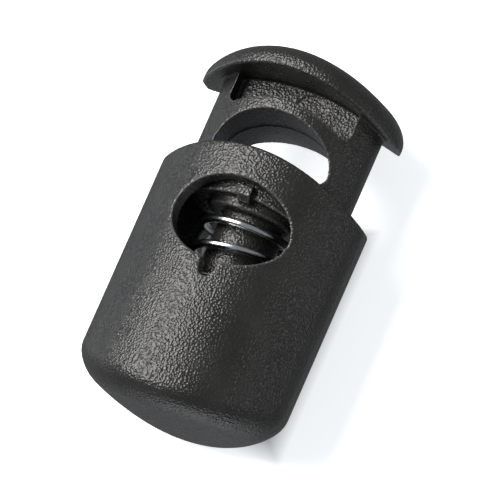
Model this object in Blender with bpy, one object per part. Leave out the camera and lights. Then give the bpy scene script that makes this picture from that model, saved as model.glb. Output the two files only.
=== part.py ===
"""Spring cord lock: a moulded barrel, a push-in plunger with an arched cap, and the compression spring between them.

The lock lies on its back. X runs across its width, +Y along the plunger's travel towards the cap, and +Z up through
its thickness, with the back of the barrel at Z = 0. Lengths below are in millimetres and are turned into metres once.
"""

import math

import bmesh
import bpy

MM = 0.001

# Whole lock
LENGTH = 32.0  # foot of the barrel to the top of the cap, on the centreline
RIM_ARCH = 19.4  # radii of the arched end faces, which fall away from the centreline towards both sides
CAP_ARCH = 18.4
FOOT_ARCH = -22.5  # negative: the foot bulges the other way
BROAD_FACETS = 17  # odd, so that one facet lies flat on the centreline
END_FACETS = 4
ROUND_STEPS = 4

# Barrel
BARREL = dict(half_width=9.2, half_depth=6.7, end_radius=3.9, end_flat=0.55)
BARREL_LENGTH = 22.7
BARREL_FLOOR = 2.1
BARREL_FOOT_ROUND = (2.6, 1.9)  # each rounding is (how far in from the sides, how far along the length)
RIM_ROUND = (0.25, 0.25)
CAVITY = dict(half_width=7.5, half_depth=5.1, end_radius=2.8, end_flat=0.3)

# Cord hole: an oval through both walls, with a small keyhole notch for the catch
HOLE_HALF_WIDTH = 5.1
HOLE_HALF_HEIGHT = 3.65
HOLE_BELOW_RIM = 6.4
NOTCH_DEPTH = 1.45
NOTCH_MOUTH = 1.75
NOTCH_RADIUS = 0.65
NOTCH_STEPS = 8
OVAL_POINTS = 48

# Plunger
SLIDER = dict(half_width=7.2, half_depth=4.8, end_radius=2.5, end_flat=0.3)
CAP = dict(half_width=8.9, half_depth=6.5, end_radius=3.7, end_flat=0.55)
CAP_GAP = 7.2  # rim to the underside of the cap
CAP_ROUND = (2.0, 1.5)
CAP_LIP_ROUND = (0.2, 0.2)
CAP_OVERLAP = 0.5  # how far the slider runs on inside the cap
SLIDER_HOLE_ABOVE_RIM = 0.3
SLIDER_HOLE_DROP = 2.1  # the slider's hole is shallower below its widest line
FOOT_BELOW_RIM = 3.8
POCKET_HALF_WIDTH = 5.5
POCKET_CORNER = 0.7
POCKET_WEB = 1.2  # half of the web left between the front and back pockets
POCKET_RISE = 1.15  # height of the arch that closes the bottom of a pocket
POCKET_ABOVE_RIM = 5.0  # top of that arch
POCKET_CORNER_STEPS = 4
POCKET_ARCH_STEPS = 12
COLLAR_RADIUS = 4.1
COLLAR_DROP = 0.9
COLLAR_OVERLAP = 0.8  # how far the collar and the stem run up inside the slider
COLLAR_FACETS = 24
STEM_RADIUS = 2.75
STEM_LENGTH = 8.0
STEM_CHAMFER = 0.5
STEM_FACETS = 16
CATCH_HALF_WIDTH = 0.55
CATCH_HEIGHT = 1.25
CATCH_PROUD = 0.7
CATCH_CHAMFER = 0.5
CATCH_GAP = 0.3  # catch to the top of the cord hole

# Spring
WIRE = 0.72
COIL_MEAN_RADIUS = 3.8
COIL_GAP = 0.3  # left at each end of the spring
END_TURNS = 1
END_PITCH = 0.85
ACTIVE_TURNS = 4.5
WIRE_END_ANGLE = math.radians(219)  # where the top end of the wire stops, turned from the front towards +X
POINTS_PER_TURN = 16

BARREL_FOOT = -0.5 * LENGTH
RIM = BARREL_FOOT + BARREL_LENGTH
CAP_UNDERSIDE = RIM + CAP_GAP
CAP_TOP = BARREL_FOOT + LENGTH
HOLE_Y = RIM - HOLE_BELOW_RIM
SLIDER_HOLE_Y = RIM + SLIDER_HOLE_ABOVE_RIM
SLIDER_FOOT = RIM - FOOT_BELOW_RIM
COLLAR_FOOT = SLIDER_FOOT - COLLAR_DROP
CAVITY_FLOOR = BARREL_FOOT + BARREL_FLOOR
OVERCUT = 3.0


def clear_scene():
    for obj in list(bpy.data.objects):
        bpy.data.objects.remove(obj, do_unlink=True)


def new_collection(name):
    collection = bpy.data.collections.new(name)
    bpy.context.scene.collection.children.link(collection)
    return collection


def plastic(name, color, roughness, metallic=0.0):
    material = bpy.data.materials.new(name)
    material.use_nodes = True
    shader = material.node_tree.nodes["Principled BSDF"]
    shader.inputs["Base Color"].default_value = (*color, 1.0)
    shader.inputs["Roughness"].default_value = roughness
    shader.inputs["Metallic"].default_value = metallic
    return material


def arch_drop(x, radius):
    """How far an arched end face lies below its crown at this distance from the centreline."""
    return radius - math.copysign(math.sqrt(radius**2 - x**2), radius)


def section_stations(half_width, half_depth, end_radius, end_flat, inset=0.0):
    """(x, half depth) across a section: one broad arc that meets a small arc and a narrow flat at each end."""
    end_centre = half_width - math.sqrt(end_radius**2 - end_flat**2)
    broad = (end_centre**2 + half_depth**2 - end_radius**2) / (2 * (half_depth - end_radius))
    spread = math.asin(end_centre / (broad - end_radius))
    half = []
    for i in range(BROAD_FACETS // 2 + 1):
        angle = (2 * i + 1) * spread / BROAD_FACETS
        reach = broad - inset
        half.append((reach * math.sin(angle), reach * math.cos(angle) - (broad - half_depth)))
    first = math.pi / 2 - spread
    last = math.asin(end_flat / end_radius)
    for i in range(1, END_FACETS + 1):
        angle = first + (last - first) * i / END_FACETS
        reach = end_radius - inset
        half.append((end_centre + reach * math.cos(angle), reach * math.sin(angle)))
    return [(-x, h) for x, h in reversed(half)] + half


def link_mesh(name, bm, collection):
    bmesh.ops.recalc_face_normals(bm, faces=bm.faces[:])
    bmesh.ops.scale(bm, vec=(MM, MM, MM), verts=bm.verts[:])
    mesh = bpy.data.meshes.new(name)
    bm.to_mesh(mesh)
    bm.free()
    obj = bpy.data.objects.new(name, mesh)
    collection.objects.link(obj)
    return obj


def extrude_all(bm, offset):
    extruded = bmesh.ops.extrude_face_region(bm, geom=bm.faces[:])
    moved = [item for item in extruded["geom"] if isinstance(item, bmesh.types.BMVert)]
    bmesh.ops.translate(bm, verts=moved, vec=offset)


def rounded_rows(low, high, low_round, high_round, low_arch, high_arch):
    """(y, inset, arch) of the sections up a prism whose two ends are rounded by these (reach, rise) pairs."""
    quarter = [0.5 * math.pi * i / ROUND_STEPS for i in range(ROUND_STEPS + 1)]
    rows = []
    reach, rise = low_round
    for angle in quarter:
        rows.append((low + rise * (1 - math.cos(angle)), reach * (1 - math.sin(angle)), low_arch))
    reach, rise = high_round
    for angle in reversed(quarter):
        rows.append((high - rise * (1 - math.cos(angle)), reach * (1 - math.sin(angle)), high_arch))
    return rows


def arched_loft(name, section, rows, collection):
    """A section carried along Y through rows of (y, inset, arch radius), between two arched ends."""
    bm = bmesh.new()
    rings = []
    for y, inset, arch in rows:
        stations = section_stations(**section, inset=inset)
        outline = [(x, h) for x, h in stations] + [(x, -h) for x, h in reversed(stations)]
        rings.append([bm.verts.new((x, y - arch_drop(x, arch), h)) for x, h in outline])
    count = len(rings[0])
    for ring, above in zip(rings, rings[1:]):
        for i in range(count):
            j = (i + 1) % count
            bm.faces.new((ring[i], ring[j], above[j], above[i]))
    for ring in (rings[0], rings[-1]):
        for i in range(count // 2 - 1):
            bm.faces.new((ring[i], ring[i + 1], ring[count - 2 - i], ring[count - 1 - i]))
    return link_mesh(name, bm, collection)


def plate(name, outline, low, high, collection):
    """A flat outline in X and Y, extruded along Z."""
    bm = bmesh.new()
    bm.faces.new([bm.verts.new((x, y, low)) for x, y in outline])
    extrude_all(bm, (0, 0, high - low))
    return link_mesh(name, bm, collection)


def oval(centre_y, half_width, half_above, half_below):
    points = []
    for i in range(OVAL_POINTS):
        angle = 2 * math.pi * i / OVAL_POINTS
        rise = half_above if math.sin(angle) > 0 else half_below
        points.append((half_width * math.cos(angle), centre_y + rise * math.sin(angle)))
    return points


def notch_outline():
    """A tapering slot with a round end, hanging from the bottom of the cord hole."""
    hole_bottom = HOLE_Y - HOLE_HALF_HEIGHT
    centre = hole_bottom - NOTCH_DEPTH + NOTCH_RADIUS
    mouth = hole_bottom + 0.5 * NOTCH_RADIUS
    points = [(0.5 * NOTCH_MOUTH, mouth), (-0.5 * NOTCH_MOUTH, mouth)]
    for i in range(NOTCH_STEPS + 1):
        angle = math.pi * (1 + i / NOTCH_STEPS)
        points.append((NOTCH_RADIUS * math.cos(angle), centre + NOTCH_RADIUS * math.sin(angle)))
    return points


def pocket_outline():
    """Open at the top, where the cap closes it, and arched over the cord hole at the bottom."""
    top = CAP_UNDERSIDE + CAP_OVERLAP
    foot = RIM + POCKET_ABOVE_RIM - POCKET_RISE
    reach = POCKET_HALF_WIDTH - POCKET_CORNER
    right = []
    for i in range(POCKET_CORNER_STEPS + 1):
        angle = 0.5 * math.pi * (i / POCKET_CORNER_STEPS - 1)
        rise = POCKET_CORNER * (1 + math.sin(angle))
        right.append((reach + POCKET_CORNER * math.cos(angle), foot + rise))
    arch = []
    for i in range(1, POCKET_ARCH_STEPS):
        across = 2 * i / POCKET_ARCH_STEPS - 1
        arch.append((reach * across, foot + POCKET_RISE * (1 - across**2)))
    left = [(-x, y) for x, y in reversed(right)]
    return [(POCKET_HALF_WIDTH, top), (-POCKET_HALF_WIDTH, top)] + left + arch + right


def round_bar(name, radius, low, high, chamfer, facets, collection):
    """A bar along Y, whose lower end may be chamfered."""
    bm = bmesh.new()
    rings = []
    for y, reach in ((low, radius - chamfer), (low + chamfer, radius), (high, radius)):
        turns = [2 * math.pi * (i + 0.5) / facets for i in range(facets)]
        rings.append([bm.verts.new((reach * math.sin(a), y, reach * math.cos(a))) for a in turns])
    if not chamfer:
        bmesh.ops.delete(bm, geom=rings.pop(0), context="VERTS")
    for ring, above in zip(rings, rings[1:]):
        for i in range(facets):
            j = (i + 1) % facets
            bm.faces.new((ring[i], ring[j], above[j], above[i]))
    bm.faces.new(rings[0])
    bm.faces.new(rings[-1])
    return link_mesh(name, bm, collection)


def catch_bar(name, top, collection):
    """One bar through the slider whose two ends are the catches, chamfered below to ride into the barrel."""
    reach = SLIDER["half_depth"] + CATCH_PROUD
    low = (-CATCH_HALF_WIDTH, top - CATCH_HEIGHT, -reach)
    high = (CATCH_HALF_WIDTH, top, reach)
    bm = bmesh.new()
    bmesh.ops.create_cube(bm, size=1.0)
    for vert in bm.verts:
        vert.co = [a + (b - a) * (c + 0.5) for a, b, c in zip(low, high, vert.co)]
    lower = [e for e in bm.edges if all(v.co.y < low[1] + 1e-6 and abs(v.co.z) > 1e-6 for v in e.verts)]
    corners = [e for e in lower if abs(e.verts[0].co.x - e.verts[1].co.x) > 1e-6]
    bmesh.ops.bevel(bm, geom=corners, offset=CATCH_CHAMFER, segments=1, affect="EDGES", profile=0.5)
    return link_mesh(name, bm, collection)


def combine(obj, operation, tool):
    modifier = obj.modifiers.new(tool.name, "BOOLEAN")
    modifier.operation = operation
    modifier.solver = "EXACT"
    modifier.object = tool


def hide_tools(collection):
    for tool in collection.objects:
        tool.hide_render = True
        tool.display_type = "WIRE"


def make_barrel(parts, tools):
    rows = rounded_rows(BARREL_FOOT, RIM, BARREL_FOOT_ROUND, RIM_ROUND, FOOT_ARCH, RIM_ARCH)
    barrel = arched_loft("barrel", BARREL, rows, parts)
    deep = BARREL["half_depth"] + OVERCUT
    cavity_rows = [(CAVITY_FLOOR, 0.0, FOOT_ARCH), (RIM + OVERCUT, 0.0, RIM_ARCH)]
    combine(barrel, "DIFFERENCE", arched_loft("cavity", CAVITY, cavity_rows, tools))
    hole = oval(HOLE_Y, HOLE_HALF_WIDTH, HOLE_HALF_HEIGHT, HOLE_HALF_HEIGHT)
    combine(barrel, "DIFFERENCE", plate("cord_hole", hole, -deep, deep, tools))
    combine(barrel, "DIFFERENCE", plate("catch_notch", notch_outline(), -deep, deep, tools))
    return barrel


def make_plunger(parts, tools):
    slider_rows = [(SLIDER_FOOT, 0.0, RIM_ARCH), (CAP_UNDERSIDE + CAP_OVERLAP, 0.0, CAP_ARCH)]
    plunger = arched_loft("plunger", SLIDER, slider_rows, parts)
    deep = SLIDER["half_depth"] + OVERCUT
    hole = oval(SLIDER_HOLE_Y, HOLE_HALF_WIDTH, HOLE_HALF_HEIGHT, SLIDER_HOLE_DROP)
    combine(plunger, "DIFFERENCE", plate("slider_hole", hole, -deep, deep, tools))
    combine(plunger, "DIFFERENCE", plate("front_pocket", pocket_outline(), POCKET_WEB, deep, tools))
    combine(plunger, "DIFFERENCE", plate("back_pocket", pocket_outline(), -deep, -POCKET_WEB, tools))
    cap_rows = rounded_rows(CAP_UNDERSIDE, CAP_TOP, CAP_LIP_ROUND, CAP_ROUND, CAP_ARCH, CAP_ARCH)
    combine(plunger, "UNION", arched_loft("cap", CAP, cap_rows, tools))
    collar_top = SLIDER_FOOT + COLLAR_OVERLAP
    collar = round_bar("collar", COLLAR_RADIUS, COLLAR_FOOT, collar_top, 0.0, COLLAR_FACETS, tools)
    combine(plunger, "UNION", collar)
    stem_foot = COLLAR_FOOT - STEM_LENGTH
    stem = round_bar("stem", STEM_RADIUS, stem_foot, collar_top, STEM_CHAMFER, STEM_FACETS, tools)
    combine(plunger, "UNION", stem)
    catch_top = HOLE_Y + HOLE_HALF_HEIGHT - CATCH_GAP
    combine(plunger, "UNION", catch_bar("catch", catch_top, tools))
    return plunger


def spring_points():
    """A right-hand helix whose first and last turns are closed down, from the collar to the barrel's floor."""
    top = COLLAR_FOOT - COIL_GAP - 0.5 * WIRE
    foot = CAVITY_FLOOR + COIL_GAP + 0.5 * WIRE
    active_pitch = (top - foot - 2 * END_TURNS * END_PITCH) / ACTIVE_TURNS
    turns = ACTIVE_TURNS + 2 * END_TURNS
    count = round(turns * POINTS_PER_TURN)
    points = []
    for i in range(count + 1):
        turn = turns * i / count
        closed = min(turn, END_TURNS) + max(0.0, turn - END_TURNS - ACTIVE_TURNS)
        y = top - closed * END_PITCH - (turn - closed) * active_pitch
        angle = WIRE_END_ANGLE - 2 * math.pi * turn
        points.append((COIL_MEAN_RADIUS * math.sin(angle), y, COIL_MEAN_RADIUS * math.cos(angle)))
    return points


def make_spring(parts):
    curve = bpy.data.curves.new("spring", "CURVE")
    curve.dimensions = "3D"
    curve.bevel_depth = 0.5 * WIRE * MM
    curve.bevel_resolution = 2
    curve.use_fill_caps = True
    points = spring_points()
    spline = curve.splines.new("POLY")
    spline.points.add(len(points) - 1)
    for point, place in zip(spline.points, points):
        point.co = (*(MM * c for c in place), 1.0)
    spring = bpy.data.objects.new("spring", curve)
    parts.objects.link(spring)
    return spring


def main():
    clear_scene()
    parts = new_collection("cord_lock")
    tools = new_collection("cutters")
    barrel = make_barrel(parts, tools)
    plunger = make_plunger(parts, tools)
    spring = make_spring(parts)
    moulding = plastic("black_moulding", (0.018, 0.017, 0.017), 0.42)
    barrel.data.materials.append(moulding)
    plunger.data.materials.append(moulding)
    spring.data.materials.append(plastic("spring_steel", (0.72, 0.73, 0.74), 0.22, 1.0))
    # The section's flat centre facet is what the lock lies on, so it sets the height of the centre plane.
    centre_height = max(h for _, h in section_stations(**BARREL))
    for obj in list(parts.objects) + list(tools.objects):
        obj.location.z = centre_height * MM
    hide_tools(tools)


main()
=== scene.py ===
"""Looks for the cord lock: two black mouldings with a fine spark-eroded grain, and a bright coil spring.

The mouldings are modelled again at a fine scale, in millimetres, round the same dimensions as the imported
solids. They are cut with Booleans, remeshed so that every edge takes the small radius of a moulded part, and
turned into metres.
"""

import math

import bmesh
import bpy
from mathutils import Matrix, Vector
from mathutils.bvhtree import BVHTree


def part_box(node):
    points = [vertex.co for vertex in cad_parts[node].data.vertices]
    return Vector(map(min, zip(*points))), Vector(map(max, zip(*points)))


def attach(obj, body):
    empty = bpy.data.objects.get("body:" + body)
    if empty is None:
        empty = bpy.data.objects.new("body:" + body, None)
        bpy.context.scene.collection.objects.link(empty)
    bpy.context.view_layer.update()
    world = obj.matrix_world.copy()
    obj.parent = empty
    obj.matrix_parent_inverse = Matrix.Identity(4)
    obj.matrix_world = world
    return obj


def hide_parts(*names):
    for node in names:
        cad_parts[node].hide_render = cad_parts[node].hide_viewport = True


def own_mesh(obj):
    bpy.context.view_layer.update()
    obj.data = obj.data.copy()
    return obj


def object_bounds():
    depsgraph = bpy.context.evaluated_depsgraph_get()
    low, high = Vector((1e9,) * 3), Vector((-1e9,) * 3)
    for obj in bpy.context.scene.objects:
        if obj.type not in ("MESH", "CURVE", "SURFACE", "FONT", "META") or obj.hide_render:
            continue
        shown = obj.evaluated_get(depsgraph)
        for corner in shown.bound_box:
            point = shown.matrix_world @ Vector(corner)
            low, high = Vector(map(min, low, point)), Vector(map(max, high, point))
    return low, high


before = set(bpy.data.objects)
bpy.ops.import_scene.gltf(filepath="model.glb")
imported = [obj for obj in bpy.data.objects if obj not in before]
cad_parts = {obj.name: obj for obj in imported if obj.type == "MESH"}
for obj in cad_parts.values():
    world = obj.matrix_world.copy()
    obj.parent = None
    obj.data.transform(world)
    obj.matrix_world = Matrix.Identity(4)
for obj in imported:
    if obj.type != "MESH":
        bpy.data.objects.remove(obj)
CAD_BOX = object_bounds()

MM = 0.001

# ---------------------------------------------------------------- places from the frame, in millimetres
BARREL_LOW, BARREL_HIGH = (Vector(corner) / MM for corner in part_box("barrel"))
SPRING_LOW, SPRING_HIGH = (Vector(corner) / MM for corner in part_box("spring"))
CENTRE_Z = 0.5 * (BARREL_LOW.z + BARREL_HIGH.z)
FOOT = BARREL_LOW.y
RIM = BARREL_HIGH.y
CAP_TOP = (Vector(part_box("plunger")[1]) / MM).y

# ---------------------------------------------------------------- the mouldings, in millimetres
RIM_ARCH = 19.4  # radii of the arched end faces
CAP_ARCH = 18.4
FOOT_ARCH = -22.5  # negative: the foot bulges the other way
BARREL = dict(half_width=9.2, half_depth=6.7, end_radius=3.9, end_flat=0.55)
BARREL_FLOOR = 2.1
BARREL_FOOT_ROUND = (2.6, 1.9)  # each rounding is (how far in from the sides, how far along the length)
RIM_ROUND = (0.25, 0.25)
CAVITY = dict(half_width=7.5, half_depth=5.1, end_radius=2.8, end_flat=0.3)
HOLE_HALF_WIDTH = 5.1
HOLE_HALF_HEIGHT = 3.65
HOLE_BELOW_RIM = 6.4
NOTCH_DEPTH = 1.45
NOTCH_MOUTH = 1.75
NOTCH_RADIUS = 0.65

SLIDER = dict(half_width=7.2, half_depth=4.8, end_radius=2.5, end_flat=0.3)
CAP = dict(half_width=8.9, half_depth=6.5, end_radius=3.7, end_flat=0.55)
CAP_GAP = 7.2
CAP_ROUND = (2.0, 1.5)
CAP_LIP_ROUND = (0.2, 0.2)
CAP_OVERLAP = 0.5  # how far the slider and its pockets run up into the cap
SLIDER_HOLE_ABOVE_RIM = 0.3
SLIDER_HOLE_DROP = 2.1
FOOT_BELOW_RIM = 3.8
POCKET_HALF_WIDTH = 5.5
POCKET_CORNER = 0.7
POCKET_WEB = 1.2
POCKET_RISE = 1.15
POCKET_ABOVE_RIM = 5.0
COLLAR_RADIUS = 4.1
COLLAR_DROP = 0.9
COLLAR_CHAMFER = 0.1
COLLAR_OVERLAP = 0.8  # how far the collar and stem run up into the slider
STEM_RADIUS = 2.75
STEM_LENGTH = 8.0
STEM_CHAMFER = 0.5
CATCH_HALF_WIDTH = 0.55
CATCH_HEIGHT = 1.25
CATCH_PROUD = 0.7
CATCH_CHAMFER = 0.5
CATCH_GAP = 0.3

# Marks that moulding leaves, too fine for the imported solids
EJECTOR_RADIUS = 1.45
EJECTOR_DEPTH = 0.12
EJECTOR_CLEAR = 0.5  # how far the mark's cutter stands out of the pocket's floor
EJECTOR_X = 0.9
EJECTOR_ABOVE_RIM = 5.55
PARTING_RIDGE = 0.07  # how far the flash line stands into the slider's hole
PARTING_HALF = 0.12  # half the line's thickness
PARTING_CUT_HALF = 0.5  # half the depth of the cut that leaves it

WIRE = 0.72
COIL_MEAN_RADIUS = 3.8
END_TURNS = 1
END_PITCH = 0.85
ACTIVE_TURNS = 4.5
WIRE_END_ANGLE = math.radians(219)

CAP_UNDERSIDE = RIM + CAP_GAP
HOLE_Y = RIM - HOLE_BELOW_RIM
SLIDER_HOLE_Y = RIM + SLIDER_HOLE_ABOVE_RIM
SLIDER_FOOT = RIM - FOOT_BELOW_RIM
COLLAR_FOOT = SLIDER_FOOT - COLLAR_DROP
CAVITY_FLOOR = FOOT + BARREL_FLOOR
OVERCUT = 3.0

# ---------------------------------------------------------------- fineness
BROAD_STEPS = 128
END_STEPS = 32
ROUND_STEPS = 8
OVAL_STEPS = 128
BARREL_VOXEL = 0.13
PLUNGER_VOXEL = 0.11
SMOOTH_PASSES = 4
SAME_FACE = (0.97, 0.995)  # cosines over which a relaxed point goes from staying put to lying on the cut form
WIRE_STEPS_PER_TURN = 72
WIRE_SIDES = 20

# ---------------------------------------------------------------- camera
VIEW_TURN = math.radians(18.8)  # round the lock's long axis, towards its right side
VIEW_DROP = math.radians(-11.8)  # from beyond the foot, looking towards the cap
VIEW_ROLL = math.radians(23.77)  # the long axis leans this far over to the right
CAMERA_DISTANCE = 550 * MM
FRAME_SIDE = 40.83 * MM  # what the square picture spans at the lock
AIM_RIGHT = 0.54 * MM  # where the camera points, from the lock's centre
AIM_DOWN = 0.055 * MM

# ---------------------------------------------------------------- the looks' own sizes
GRAIN_PER_MM = 5.6
GRAIN_HEIGHT = 0.055 * MM
DRAWING_MARK_HEIGHT = 0.01 * MM
FLOOR_HALF_SIDE = 0.6
FLOOR_GLOW = 0.8
PAINTED_SHADOW_FADE = (4, 1)  # how far inside the barrel's sides and foot the floor's painted shadow is full and ends
PAINTED_SHADOW_RIM_FADE = 2  # how far inside the rim the painted shadow is full. It ends at the rim
FOOT_GLOW_TOWARDS = (0.0, -0.87, -0.5)  # low beyond the foot
FOOT_GLOW_COSINES = (0.86, 0.98)  # how near that direction the glow starts and is full
SKY_STRENGTH = 0.2
FOOT_GLOW_STRENGTH = 1.6


# ---------------------------------------------------------------- outlines
def arch_drop(x, radius):
    """How far an arched end face lies below its crown at this distance from the centreline."""
    return radius - math.copysign(math.sqrt(radius**2 - x**2), radius)


def section_ring(half_width, half_depth, end_radius, end_flat, inset=0.0):
    """(x, z) round a section: a broad arc front and back, and a small arc and a narrow flat at each side."""
    end_centre = half_width - math.sqrt(end_radius**2 - end_flat**2)
    broad = (end_centre**2 + half_depth**2 - end_radius**2) / (2 * (half_depth - end_radius))
    spread = math.asin(end_centre / (broad - end_radius))
    half = []
    for i in range(BROAD_STEPS // 2 + 1):
        angle = (2 * i + 1) * spread / (BROAD_STEPS + 1)
        reach = broad - inset
        half.append((reach * math.sin(angle), reach * math.cos(angle) - (broad - half_depth)))
    first = math.pi / 2 - spread
    last = math.asin(end_flat / end_radius)
    for i in range(1, END_STEPS + 1):
        angle = first + (last - first) * i / END_STEPS
        reach = end_radius - inset
        half.append((end_centre + reach * math.cos(angle), reach * math.sin(angle)))
    front = [(-x, z) for x, z in reversed(half)] + half
    return front + [(x, -z) for x, z in reversed(front)]


def oval(centre, half_width, half_above, half_below):
    points = []
    for i in range(OVAL_STEPS):
        angle = 2 * math.pi * i / OVAL_STEPS
        rise = half_above if math.sin(angle) > 0 else half_below
        points.append((centre[0] + half_width * math.cos(angle), centre[1] + rise * math.sin(angle)))
    return points


def circle(centre, radius):
    return oval(centre, radius, radius, radius)


def notch_outline():
    """A tapering slot with a round end, hanging from the bottom of the cord hole."""
    hole_bottom = HOLE_Y - HOLE_HALF_HEIGHT
    centre = hole_bottom - NOTCH_DEPTH + NOTCH_RADIUS
    mouth = hole_bottom + 0.5 * NOTCH_RADIUS
    points = [(0.5 * NOTCH_MOUTH, mouth), (-0.5 * NOTCH_MOUTH, mouth)]
    for i in range(END_STEPS + 1):
        angle = math.pi * (1 + i / END_STEPS)
        points.append((NOTCH_RADIUS * math.cos(angle), centre + NOTCH_RADIUS * math.sin(angle)))
    return points


def pocket_outline():
    """Open at the top, where the cap closes it, and arched over the cord hole at the bottom."""
    top = CAP_UNDERSIDE + CAP_OVERLAP
    foot = RIM + POCKET_ABOVE_RIM - POCKET_RISE
    reach = POCKET_HALF_WIDTH - POCKET_CORNER
    right = []
    for i in range(ROUND_STEPS + 1):
        angle = 0.5 * math.pi * (i / ROUND_STEPS - 1)
        right.append((reach + POCKET_CORNER * math.cos(angle), foot + POCKET_CORNER * (1 + math.sin(angle))))
    arch = []
    for i in range(1, BROAD_STEPS):
        across = 2 * i / BROAD_STEPS - 1
        arch.append((reach * across, foot + POCKET_RISE * (1 - across**2)))
    left = [(-x, y) for x, y in reversed(right)]
    return [(POCKET_HALF_WIDTH, top), (-POCKET_HALF_WIDTH, top)] + left + arch + right


# ---------------------------------------------------------------- mesh tools
def as_object(name, bm):
    bmesh.ops.recalc_face_normals(bm, faces=bm.faces[:])
    mesh = bpy.data.meshes.new(name)
    bm.to_mesh(mesh)
    bm.free()
    obj = bpy.data.objects.new(name, mesh)
    bpy.context.scene.collection.objects.link(obj)
    return obj


def bridge(bm, ring, above):
    for i in range(len(ring)):
        j = (i + 1) % len(ring)
        bm.faces.new((ring[i], ring[j], above[j], above[i]))


def rounded_rows(low, high, low_round, high_round, low_arch, high_arch):
    """(y, inset, arch) of the sections up a prism whose two ends are rounded by these (reach, rise) pairs."""
    quarter = [0.5 * math.pi * i / ROUND_STEPS for i in range(ROUND_STEPS + 1)]
    rows = []
    reach, rise = low_round
    for angle in quarter:
        rows.append((low + rise * (1 - math.cos(angle)), reach * (1 - math.sin(angle)), low_arch))
    reach, rise = high_round
    for angle in reversed(quarter):
        rows.append((high - rise * (1 - math.cos(angle)), reach * (1 - math.sin(angle)), high_arch))
    return rows


def arched_loft(name, section, rows):
    """A section carried along Y through rows of (y, inset, arch radius), between two arched ends."""
    bm = bmesh.new()
    rings = []
    for y, inset, arch in rows:
        outline = section_ring(**section, inset=inset)
        rings.append([bm.verts.new((x, y - arch_drop(x, arch), z)) for x, z in outline])
    for ring, above in zip(rings, rings[1:]):
        bridge(bm, ring, above)
    count = len(rings[0])
    for ring in (rings[0], rings[-1]):
        for i in range(count // 2 - 1):
            bm.faces.new((ring[i], ring[i + 1], ring[count - 2 - i], ring[count - 1 - i]))
    return as_object(name, bm)


def plate(name, outline, low, high):
    """A flat outline in X and Y, extruded along Z."""
    bm = bmesh.new()
    rings = [[bm.verts.new((x, y, z)) for x, y in outline] for z in (low, high)]
    bridge(bm, *rings)
    for ring in rings:
        bm.faces.new(ring)
    return as_object(name, bm)


def round_bar(name, radius, low, high, chamfer):
    """A bar along Y, with a chamfered lower end."""
    bm = bmesh.new()
    rings = []
    for y, reach in ((low, radius - chamfer), (low + chamfer, radius), (high, radius)):
        rings.append([bm.verts.new((x, y, z)) for x, z in circle((0.0, 0.0), reach)])
    for ring, above in zip(rings, rings[1:]):
        bridge(bm, ring, above)
    bm.faces.new(rings[0])
    bm.faces.new(rings[-1])
    return as_object(name, bm)


def catch_bar(name, top):
    """The two catches, front and back, as one bar chamfered below."""
    reach = SLIDER["half_depth"] + CATCH_PROUD
    low = top - CATCH_HEIGHT
    profile = [(reach, top), (reach, low + CATCH_CHAMFER), (reach - CATCH_CHAMFER, low)]
    profile += [(-z, y) for z, y in reversed(profile)]
    bm = bmesh.new()
    rings = [[bm.verts.new((x, y, z)) for z, y in profile] for x in (-CATCH_HALF_WIDTH, CATCH_HALF_WIDTH)]
    bridge(bm, *rings)
    for ring in rings:
        bm.faces.new(ring)
    return as_object(name, bm)


def combine(obj, operation, tool):
    modifier = obj.modifiers.new(tool.name, "BOOLEAN")
    modifier.operation = operation
    modifier.solver = "EXACT"
    modifier.object = tool


def evaluated_mesh(obj):
    graph = bpy.context.evaluated_depsgraph_get()
    return bpy.data.meshes.new_from_object(obj.evaluated_get(graph))


def settle(mesh, cut):
    """Puts points that aren't on a rounded edge back on the cut form, and marks the outer edges as
    "wear_and_sheen": a little wear and a painted highlight.
    """
    form = BVHTree.FromPolygons([v.co for v in cut.vertices], [p.vertices for p in cut.polygons])
    low, high = SAME_FACE
    normals = [vertex.normal.copy() for vertex in mesh.vertices]
    places, wear_and_sheen = [], []
    for vertex, outward in zip(mesh.vertices, normals):
        nearest, normal, _, _ = form.find_nearest(vertex.co)
        share = min(max((outward.dot(normal) - low) / (high - low), 0.0), 1.0)
        inside = (vertex.co - nearest).dot(normal) < 0
        places.extend(vertex.co.lerp(nearest, share))
        wear_and_sheen.append(1.0 - share if inside else 0.0)
    mesh.vertices.foreach_set("co", places)
    mesh.attributes.new("wear_and_sheen", "FLOAT", "POINT").data.foreach_set("value", wear_and_sheen)
    mesh.update()


def moulded(obj, voxel):
    """Applies the Booleans, then remeshes and relaxes the surface, which gives each edge a small radius."""
    tools = [modifier.object for modifier in obj.modifiers]
    cut = evaluated_mesh(obj)
    remesh = obj.modifiers.new("remesh", "REMESH")
    remesh.mode = "VOXEL"
    remesh.voxel_size = voxel
    relax = obj.modifiers.new("relax", "SMOOTH")
    relax.factor = 0.5
    relax.iterations = SMOOTH_PASSES
    mesh = evaluated_mesh(obj)
    settle(mesh, cut)
    obj.modifiers.clear()
    obj.data = mesh
    for tool in tools:
        bpy.data.objects.remove(tool, do_unlink=True)
    return obj


def place(obj, material):
    """From millimetres round the lock's centre plane to metres in the row frame, shaded smooth."""
    to_row = Matrix.Diagonal((MM, MM, MM, 1)) @ Matrix.Translation((0, 0, CENTRE_Z))
    obj.data.transform(to_row)
    obj.data.shade_smooth()
    obj.data.materials.clear()
    obj.data.materials.append(material)
    return obj


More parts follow.
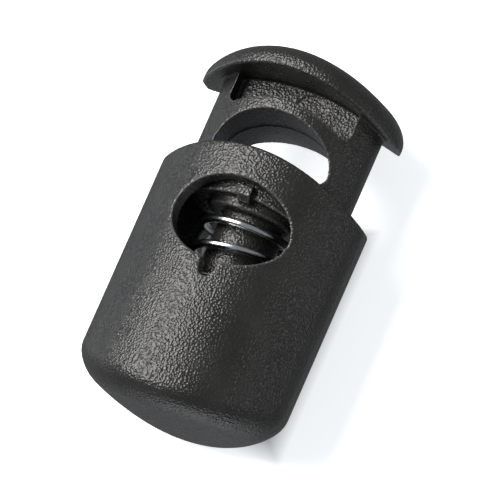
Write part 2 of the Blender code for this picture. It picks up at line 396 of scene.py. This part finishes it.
# ---------------------------------------------------------------- the pieces
def make_barrel(material):
    rows = rounded_rows(FOOT, RIM, BARREL_FOOT_ROUND, RIM_ROUND, FOOT_ARCH, RIM_ARCH)
    barrel = arched_loft("barrel_moulding", BARREL, rows)
    deep = BARREL["half_depth"] + OVERCUT
    cavity_rows = [(CAVITY_FLOOR, 0.0, FOOT_ARCH), (RIM + OVERCUT, 0.0, RIM_ARCH)]
    combine(barrel, "DIFFERENCE", arched_loft("cavity", CAVITY, cavity_rows))
    hole = oval((0.0, HOLE_Y), HOLE_HALF_WIDTH, HOLE_HALF_HEIGHT, HOLE_HALF_HEIGHT)
    combine(barrel, "DIFFERENCE", plate("cord_hole", hole, -deep, deep))
    combine(barrel, "DIFFERENCE", plate("catch_notch", notch_outline(), -deep, deep))
    place(moulded(barrel, BARREL_VOXEL), material)
    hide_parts("barrel")
    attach(barrel, "barrel")


def make_plunger(material):
    slider_rows = [(SLIDER_FOOT, 0.0, RIM_ARCH), (CAP_UNDERSIDE + CAP_OVERLAP, 0.0, CAP_ARCH)]
    plunger = arched_loft("plunger_moulding", SLIDER, slider_rows)
    deep = SLIDER["half_depth"] + OVERCUT
    centre = (0.0, SLIDER_HOLE_Y)
    sides = (HOLE_HALF_WIDTH, HOLE_HALF_HEIGHT, SLIDER_HOLE_DROP)
    hole = oval(centre, *sides)
    inner = oval(centre, *(side - PARTING_RIDGE for side in sides))
    combine(plunger, "DIFFERENCE", plate("slider_hole_front", hole, PARTING_HALF, deep))
    combine(plunger, "DIFFERENCE", plate("slider_hole_back", hole, -deep, -PARTING_HALF))
    combine(plunger, "DIFFERENCE", plate("slider_hole_middle", inner, -PARTING_CUT_HALF, PARTING_CUT_HALF))
    combine(plunger, "DIFFERENCE", plate("front_pocket", pocket_outline(), POCKET_WEB, deep))
    combine(plunger, "DIFFERENCE", plate("back_pocket", pocket_outline(), -deep, -POCKET_WEB))
    mark = circle((EJECTOR_X, RIM + EJECTOR_ABOVE_RIM), EJECTOR_RADIUS)
    mark_cutter = plate("ejector_mark", mark, POCKET_WEB - EJECTOR_DEPTH, POCKET_WEB + EJECTOR_CLEAR)
    combine(plunger, "DIFFERENCE", mark_cutter)
    cap_rows = rounded_rows(CAP_UNDERSIDE, CAP_TOP, CAP_LIP_ROUND, CAP_ROUND, CAP_ARCH, CAP_ARCH)
    combine(plunger, "UNION", arched_loft("cap", CAP, cap_rows))
    inside = SLIDER_FOOT + COLLAR_OVERLAP
    combine(plunger, "UNION", round_bar("collar", COLLAR_RADIUS, COLLAR_FOOT, inside, COLLAR_CHAMFER))
    combine(plunger, "UNION", round_bar("stem", STEM_RADIUS, COLLAR_FOOT - STEM_LENGTH, inside, STEM_CHAMFER))
    combine(plunger, "UNION", catch_bar("catch", HOLE_Y + HOLE_HALF_HEIGHT - CATCH_GAP))
    place(moulded(plunger, PLUNGER_VOXEL), material)
    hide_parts("plunger")
    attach(plunger, "plunger")


def coil_point(turn, top, foot):
    """Centre of the wire this many turns below its top end, with the first and last turns closed down."""
    active_pitch = (top - foot - 2 * END_TURNS * END_PITCH) / ACTIVE_TURNS
    closed = min(turn, END_TURNS) + max(0.0, turn - END_TURNS - ACTIVE_TURNS)
    y = top - closed * END_PITCH - (turn - closed) * active_pitch
    angle = WIRE_END_ANGLE - 2 * math.pi * turn
    return Vector((COIL_MEAN_RADIUS * math.sin(angle), y, COIL_MEAN_RADIUS * math.cos(angle)))


def make_spring(material):
    """Round wire swept along the coil, with UVs that run along it for the drawing marks."""
    reach = 0.5 * WIRE
    top = SPRING_HIGH.y - reach
    foot = SPRING_LOW.y + reach
    turns = ACTIVE_TURNS + 2 * END_TURNS
    steps = round(turns * WIRE_STEPS_PER_TURN)
    bm = bmesh.new()
    around = bm.loops.layers.uv.new("wire")
    rings = []
    for i in range(steps + 1):
        turn = turns * i / steps
        centre = coil_point(turn, top, foot)
        outward = Vector((centre.x, 0, centre.z)).normalized()
        ring = []
        for k in range(WIRE_SIDES):
            angle = 2 * math.pi * k / WIRE_SIDES
            across = outward * reach * math.cos(angle)
            ring.append(bm.verts.new(centre + across + Vector((0, reach * math.sin(angle), 0))))
        rings.append(ring)
    for i, (ring, after) in enumerate(zip(rings, rings[1:])):
        for k in range(WIRE_SIDES):
            j = (k + 1) % WIRE_SIDES
            face = bm.faces.new((ring[k], ring[j], after[j], after[k]))
            for loop, (u, v) in zip(face.loops, ((k, i), (k + 1, i), (k + 1, i + 1), (k, i + 1))):
                loop[around].uv = (u / WIRE_SIDES, turns * v / steps)
    bm.faces.new(rings[0])
    bm.faces.new(rings[-1])
    spring = place(as_object("spring_coil", bm), material)
    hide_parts("spring")
    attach(spring, "barrel")
    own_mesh(spring)


# ---------------------------------------------------------------- materials
class Nodes:
    """A material's node tree with short ways to add a node and to link into it."""

    def __init__(self, name):
        self.material = bpy.data.materials.new(name)
        self.material.use_nodes = True
        self.tree = self.material.node_tree
        self.shader = self.tree.nodes["Principled BSDF"]

    def add(self, kind, **settings):
        node = self.tree.nodes.new(kind)
        for key, value in settings.items():
            if hasattr(node, key):
                setattr(node, key, value)
            else:
                node.inputs[key.replace("_", " ")].default_value = value
        return node

    def link(self, source, node, socket):
        self.tree.links.new(source, node.inputs[socket])

    def millimetres(self):
        """Object coordinates, in millimetres, so that a scale below is in features per millimetre."""
        mapping = self.add("ShaderNodeMapping")
        mapping.inputs["Scale"].default_value = (1 / MM, 1 / MM, 1 / MM)
        self.link(self.add("ShaderNodeTexCoord").outputs["Object"], mapping, "Vector")
        return mapping.outputs["Vector"]

    def remap(self, source, low, high, to_low, to_high):
        node = self.add("ShaderNodeMapRange")
        self.link(source, node, "Value")
        for socket, value in (("From Min", low), ("From Max", high), ("To Min", to_low), ("To Max", to_high)):
            node.inputs[socket].default_value = value
        return node.outputs["Result"]

    def mix(self, factor, dark, light):
        node = self.add("ShaderNodeMix", data_type="RGBA")
        self.link(factor, node, "Factor")
        node.inputs["A"].default_value = (*dark, 1)
        node.inputs["B"].default_value = (*light, 1)
        return node.outputs["Result"]

    def math(self, operation, a, b):
        node = self.add("ShaderNodeMath", operation=operation)
        for socket, value in enumerate((a, b)):
            if isinstance(value, float):
                node.inputs[socket].default_value = value
            else:
                self.link(value, node, socket)
        return node.outputs["Value"]


def moulding_material():
    """Black filled plastic with a spark-eroded grain, a soft gloss, and edges worn a little smoother, whose
    colour is lightened as a painted highlight.
    """
    nodes = Nodes("black_moulding")
    place_mm = nodes.millimetres()
    cells = nodes.add("ShaderNodeTexVoronoi", feature="SMOOTH_F1", Scale=GRAIN_PER_MM, Smoothness=0.2)
    wander = nodes.add("ShaderNodeTexNoise", Scale=3.0, Detail=2.0)
    fine = nodes.add("ShaderNodeTexNoise", Scale=9.0, Detail=3.0, Roughness=0.6)
    cloud = nodes.add("ShaderNodeTexNoise", Scale=0.35, Detail=2.0)
    for texture in (wander, fine, cloud):
        nodes.link(place_mm, texture, "Vector")
    bent = nodes.add("ShaderNodeMix", data_type="VECTOR")
    bent.inputs["Factor"].default_value = 0.08
    nodes.link(place_mm, bent, "A")
    nodes.link(wander.outputs["Color"], bent, "B")
    nodes.link(bent.outputs["Result"], cells, "Vector")
    height = nodes.math("ADD", cells.outputs["Distance"], nodes.math("MULTIPLY", fine.outputs["Fac"], 0.12))
    bump = nodes.add("ShaderNodeBump")
    bump.inputs["Strength"].default_value = 1.0
    bump.inputs["Distance"].default_value = GRAIN_HEIGHT
    nodes.link(height, bump, "Height")
    nodes.link(bump.outputs["Normal"], nodes.shader, "Normal")
    edge = nodes.add("ShaderNodeAttribute", attribute_name="wear_and_sheen").outputs["Fac"]
    mottle = nodes.math("MULTIPLY", cloud.outputs["Fac"], 0.25)
    # painted highlight: rounded edges get a lighter colour for the light they catch; the roughness drop below
    # is their wear
    tone = nodes.math("ADD", nodes.math("MULTIPLY", edge, 0.75), mottle)
    nodes.link(nodes.mix(tone, (0.0145, 0.0135, 0.0125), (0.085, 0.083, 0.08)), nodes.shader, "Base Color")
    uneven = nodes.remap(cloud.outputs["Fac"], 0.3, 0.7, 0.24, 0.3)
    rough = nodes.math("SUBTRACT", uneven, nodes.math("MULTIPLY", edge, 0.1))
    nodes.link(rough, nodes.shader, "Roughness")
    nodes.shader.inputs["IOR"].default_value = 1.5
    return nodes.material


def wire_material():
    """Bright drawn spring steel: fine lines along the wire and a slightly uneven polish."""
    nodes = Nodes("spring_steel")
    uv = nodes.add("ShaderNodeUVMap", uv_map="wire")
    stretch = nodes.add("ShaderNodeMapping")
    stretch.inputs["Scale"].default_value = (60, 6, 1)
    nodes.link(uv.outputs["UV"], stretch, "Vector")
    lines = nodes.add("ShaderNodeTexNoise", Scale=1.0, Detail=3.0)
    nodes.link(stretch.outputs["Vector"], lines, "Vector")
    color = nodes.mix(lines.outputs["Fac"], (0.74, 0.75, 0.77), (0.93, 0.94, 0.96))
    nodes.link(color, nodes.shader, "Base Color")
    nodes.link(nodes.remap(lines.outputs["Fac"], 0.3, 0.7, 0.13, 0.22), nodes.shader, "Roughness")
    nodes.shader.inputs["Metallic"].default_value = 1.0
    bump = nodes.add("ShaderNodeBump")
    bump.inputs["Strength"].default_value = 0.4
    bump.inputs["Distance"].default_value = DRAWING_MARK_HEIGHT
    nodes.link(lines.outputs["Fac"], bump, "Height")
    nodes.link(bump.outputs["Normal"], nodes.shader, "Normal")
    return nodes.material


def floor_material():
    """A pale, faintly glowing sheet with a painted shadow: it is dark and doesn't glow under the barrel."""
    nodes = Nodes("pale_floor")
    nodes.shader.inputs["Roughness"].default_value = 0.9
    nodes.shader.inputs["Emission Color"].default_value = (0.95, 0.98, 1.0, 1)
    along = nodes.add("ShaderNodeSeparateXYZ")
    nodes.link(nodes.millimetres(), along, "Vector")
    aside = nodes.math("ABSOLUTE", along.outputs["X"], 0.0)
    full, ends = PAINTED_SHADOW_FADE
    sideways = nodes.remap(aside, BARREL_HIGH.x - full, BARREL_HIGH.x - ends, 0.0, 1.0)
    past_foot = nodes.remap(along.outputs["Y"], FOOT + ends, FOOT + full, 1.0, 0.0)
    past_rim = nodes.remap(along.outputs["Y"], RIM - PAINTED_SHADOW_RIM_FADE, RIM, 0.0, 1.0)
    # painted shadow: the floor is dark and stops glowing over the barrel's footprint, and is pale outside it
    outside_painted_shadow = nodes.math("MAXIMUM", sideways, nodes.math("MAXIMUM", past_foot, past_rim))
    nodes.link(nodes.remap(outside_painted_shadow, 0.0, 1.0, 0.0, FLOOR_GLOW), nodes.shader, "Emission Strength")
    nodes.link(nodes.mix(outside_painted_shadow, (0.05, 0.05, 0.05), (0.8, 0.8, 0.8)), nodes.shader, "Base Color")
    return nodes.material


# ---------------------------------------------------------------- studio
def lock_centre():
    low, high = (Vector(corner) for corner in CAD_BOX)
    return 0.5 * (low + high)


def add_camera():
    """A long lens, square to the lock's front apart from a turn, a drop and a roll."""
    turn, drop, roll = VIEW_TURN, VIEW_DROP, VIEW_ROLL
    towards = Vector((math.sin(turn) * math.cos(drop), math.sin(drop), math.cos(turn) * math.cos(drop)))
    right = Vector((math.cos(turn), 0, -math.sin(turn)))
    up = towards.cross(right)
    aim = lock_centre() + right * AIM_RIGHT - up * AIM_DOWN
    camera_right = right * math.cos(roll) + up * math.sin(roll)
    camera_up = up * math.cos(roll) - right * math.sin(roll)
    camera = bpy.data.objects.new("camera", bpy.data.cameras.new("camera"))
    bpy.context.scene.collection.objects.link(camera)
    axes = Matrix((camera_right, camera_up, towards)).transposed()
    camera.matrix_world = Matrix.Translation(aim + towards * CAMERA_DISTANCE) @ axes.to_4x4()
    camera.data.lens = camera.data.sensor_width * CAMERA_DISTANCE / FRAME_SIDE
    camera.data.clip_start = 0.01
    bpy.context.scene.camera = camera


def add_softbox(name, angles, distance, size, radiance, color):
    """A rectangular light facing the lock. Its angles, in degrees, are the turn from the front, left being
    negative, and the rise towards the cap. Its size is width and height, which is along the lock's axis."""
    side, rise = (math.radians(angle) for angle in angles)
    width, height = size
    towards = Vector((math.sin(side) * math.cos(rise), math.sin(rise), math.cos(side) * math.cos(rise)))
    right = Vector((math.cos(side), 0, -math.sin(side)))
    lamp = bpy.data.lights.new(name, "AREA")
    lamp.shape = "RECTANGLE"
    lamp.size = width
    lamp.size_y = height
    lamp.energy = radiance * math.pi * width * height
    lamp.color = color
    light = bpy.data.objects.new(name, lamp)
    axes = Matrix((right, towards.cross(right), towards)).transposed()
    light.matrix_world = Matrix.Translation(lock_centre() + towards * distance) @ axes.to_4x4()
    bpy.context.scene.collection.objects.link(light)


def studio_world():
    """Dim and even, apart from low beyond the foot, where the pale floor throws light back."""
    world = bpy.data.worlds.new("studio")
    world.use_nodes = True
    tree = world.node_tree
    background = tree.nodes["Background"]
    background.inputs["Color"].default_value = (0.9, 0.96, 1.0, 1)
    towards_foot = tree.nodes.new("ShaderNodeVectorMath")
    towards_foot.operation = "DOT_PRODUCT"
    towards_foot.inputs[1].default_value = FOOT_GLOW_TOWARDS
    tree.links.new(tree.nodes.new("ShaderNodeTexCoord").outputs["Generated"], towards_foot.inputs[0])
    fade = tree.nodes.new("ShaderNodeMapRange")
    fade.interpolation_type = "SMOOTHSTEP"
    fade.inputs["From Min"].default_value, fade.inputs["From Max"].default_value = FOOT_GLOW_COSINES
    fade.inputs["To Min"].default_value = SKY_STRENGTH
    fade.inputs["To Max"].default_value = FOOT_GLOW_STRENGTH
    tree.links.new(towards_foot.outputs["Value"], fade.inputs["Value"])
    tree.links.new(fade.outputs["Result"], background.inputs["Strength"])
    return world


def add_studio():
    warm, cool = (1.0, 0.99, 0.97), (0.86, 0.93, 1.0)
    add_softbox("key", (-34, 4), 0.24, (0.152, 0.18), radiance=9.5, color=warm)
    add_softbox("left_rim", (-96, 0), 0.30, (0.08, 0.26), radiance=1.8, color=cool)
    add_softbox("right_fill", (74, 0), 0.30, (0.05, 0.26), radiance=2.2, color=warm)
    bpy.context.scene.world = studio_world()
    bm = bmesh.new()
    bmesh.ops.create_grid(bm, x_segments=1, y_segments=1, size=FLOOR_HALF_SIDE)
    floor = as_object("floor", bm)
    floor.data.materials.append(floor_material())
    floor.visible_glossy = False
    bpy.context.scene.view_settings.view_transform = "Standard"


def main():
    add_camera()
    moulding = moulding_material()
    make_barrel(moulding)
    make_plunger(moulding)
    make_spring(wire_material())
    add_studio()


main()
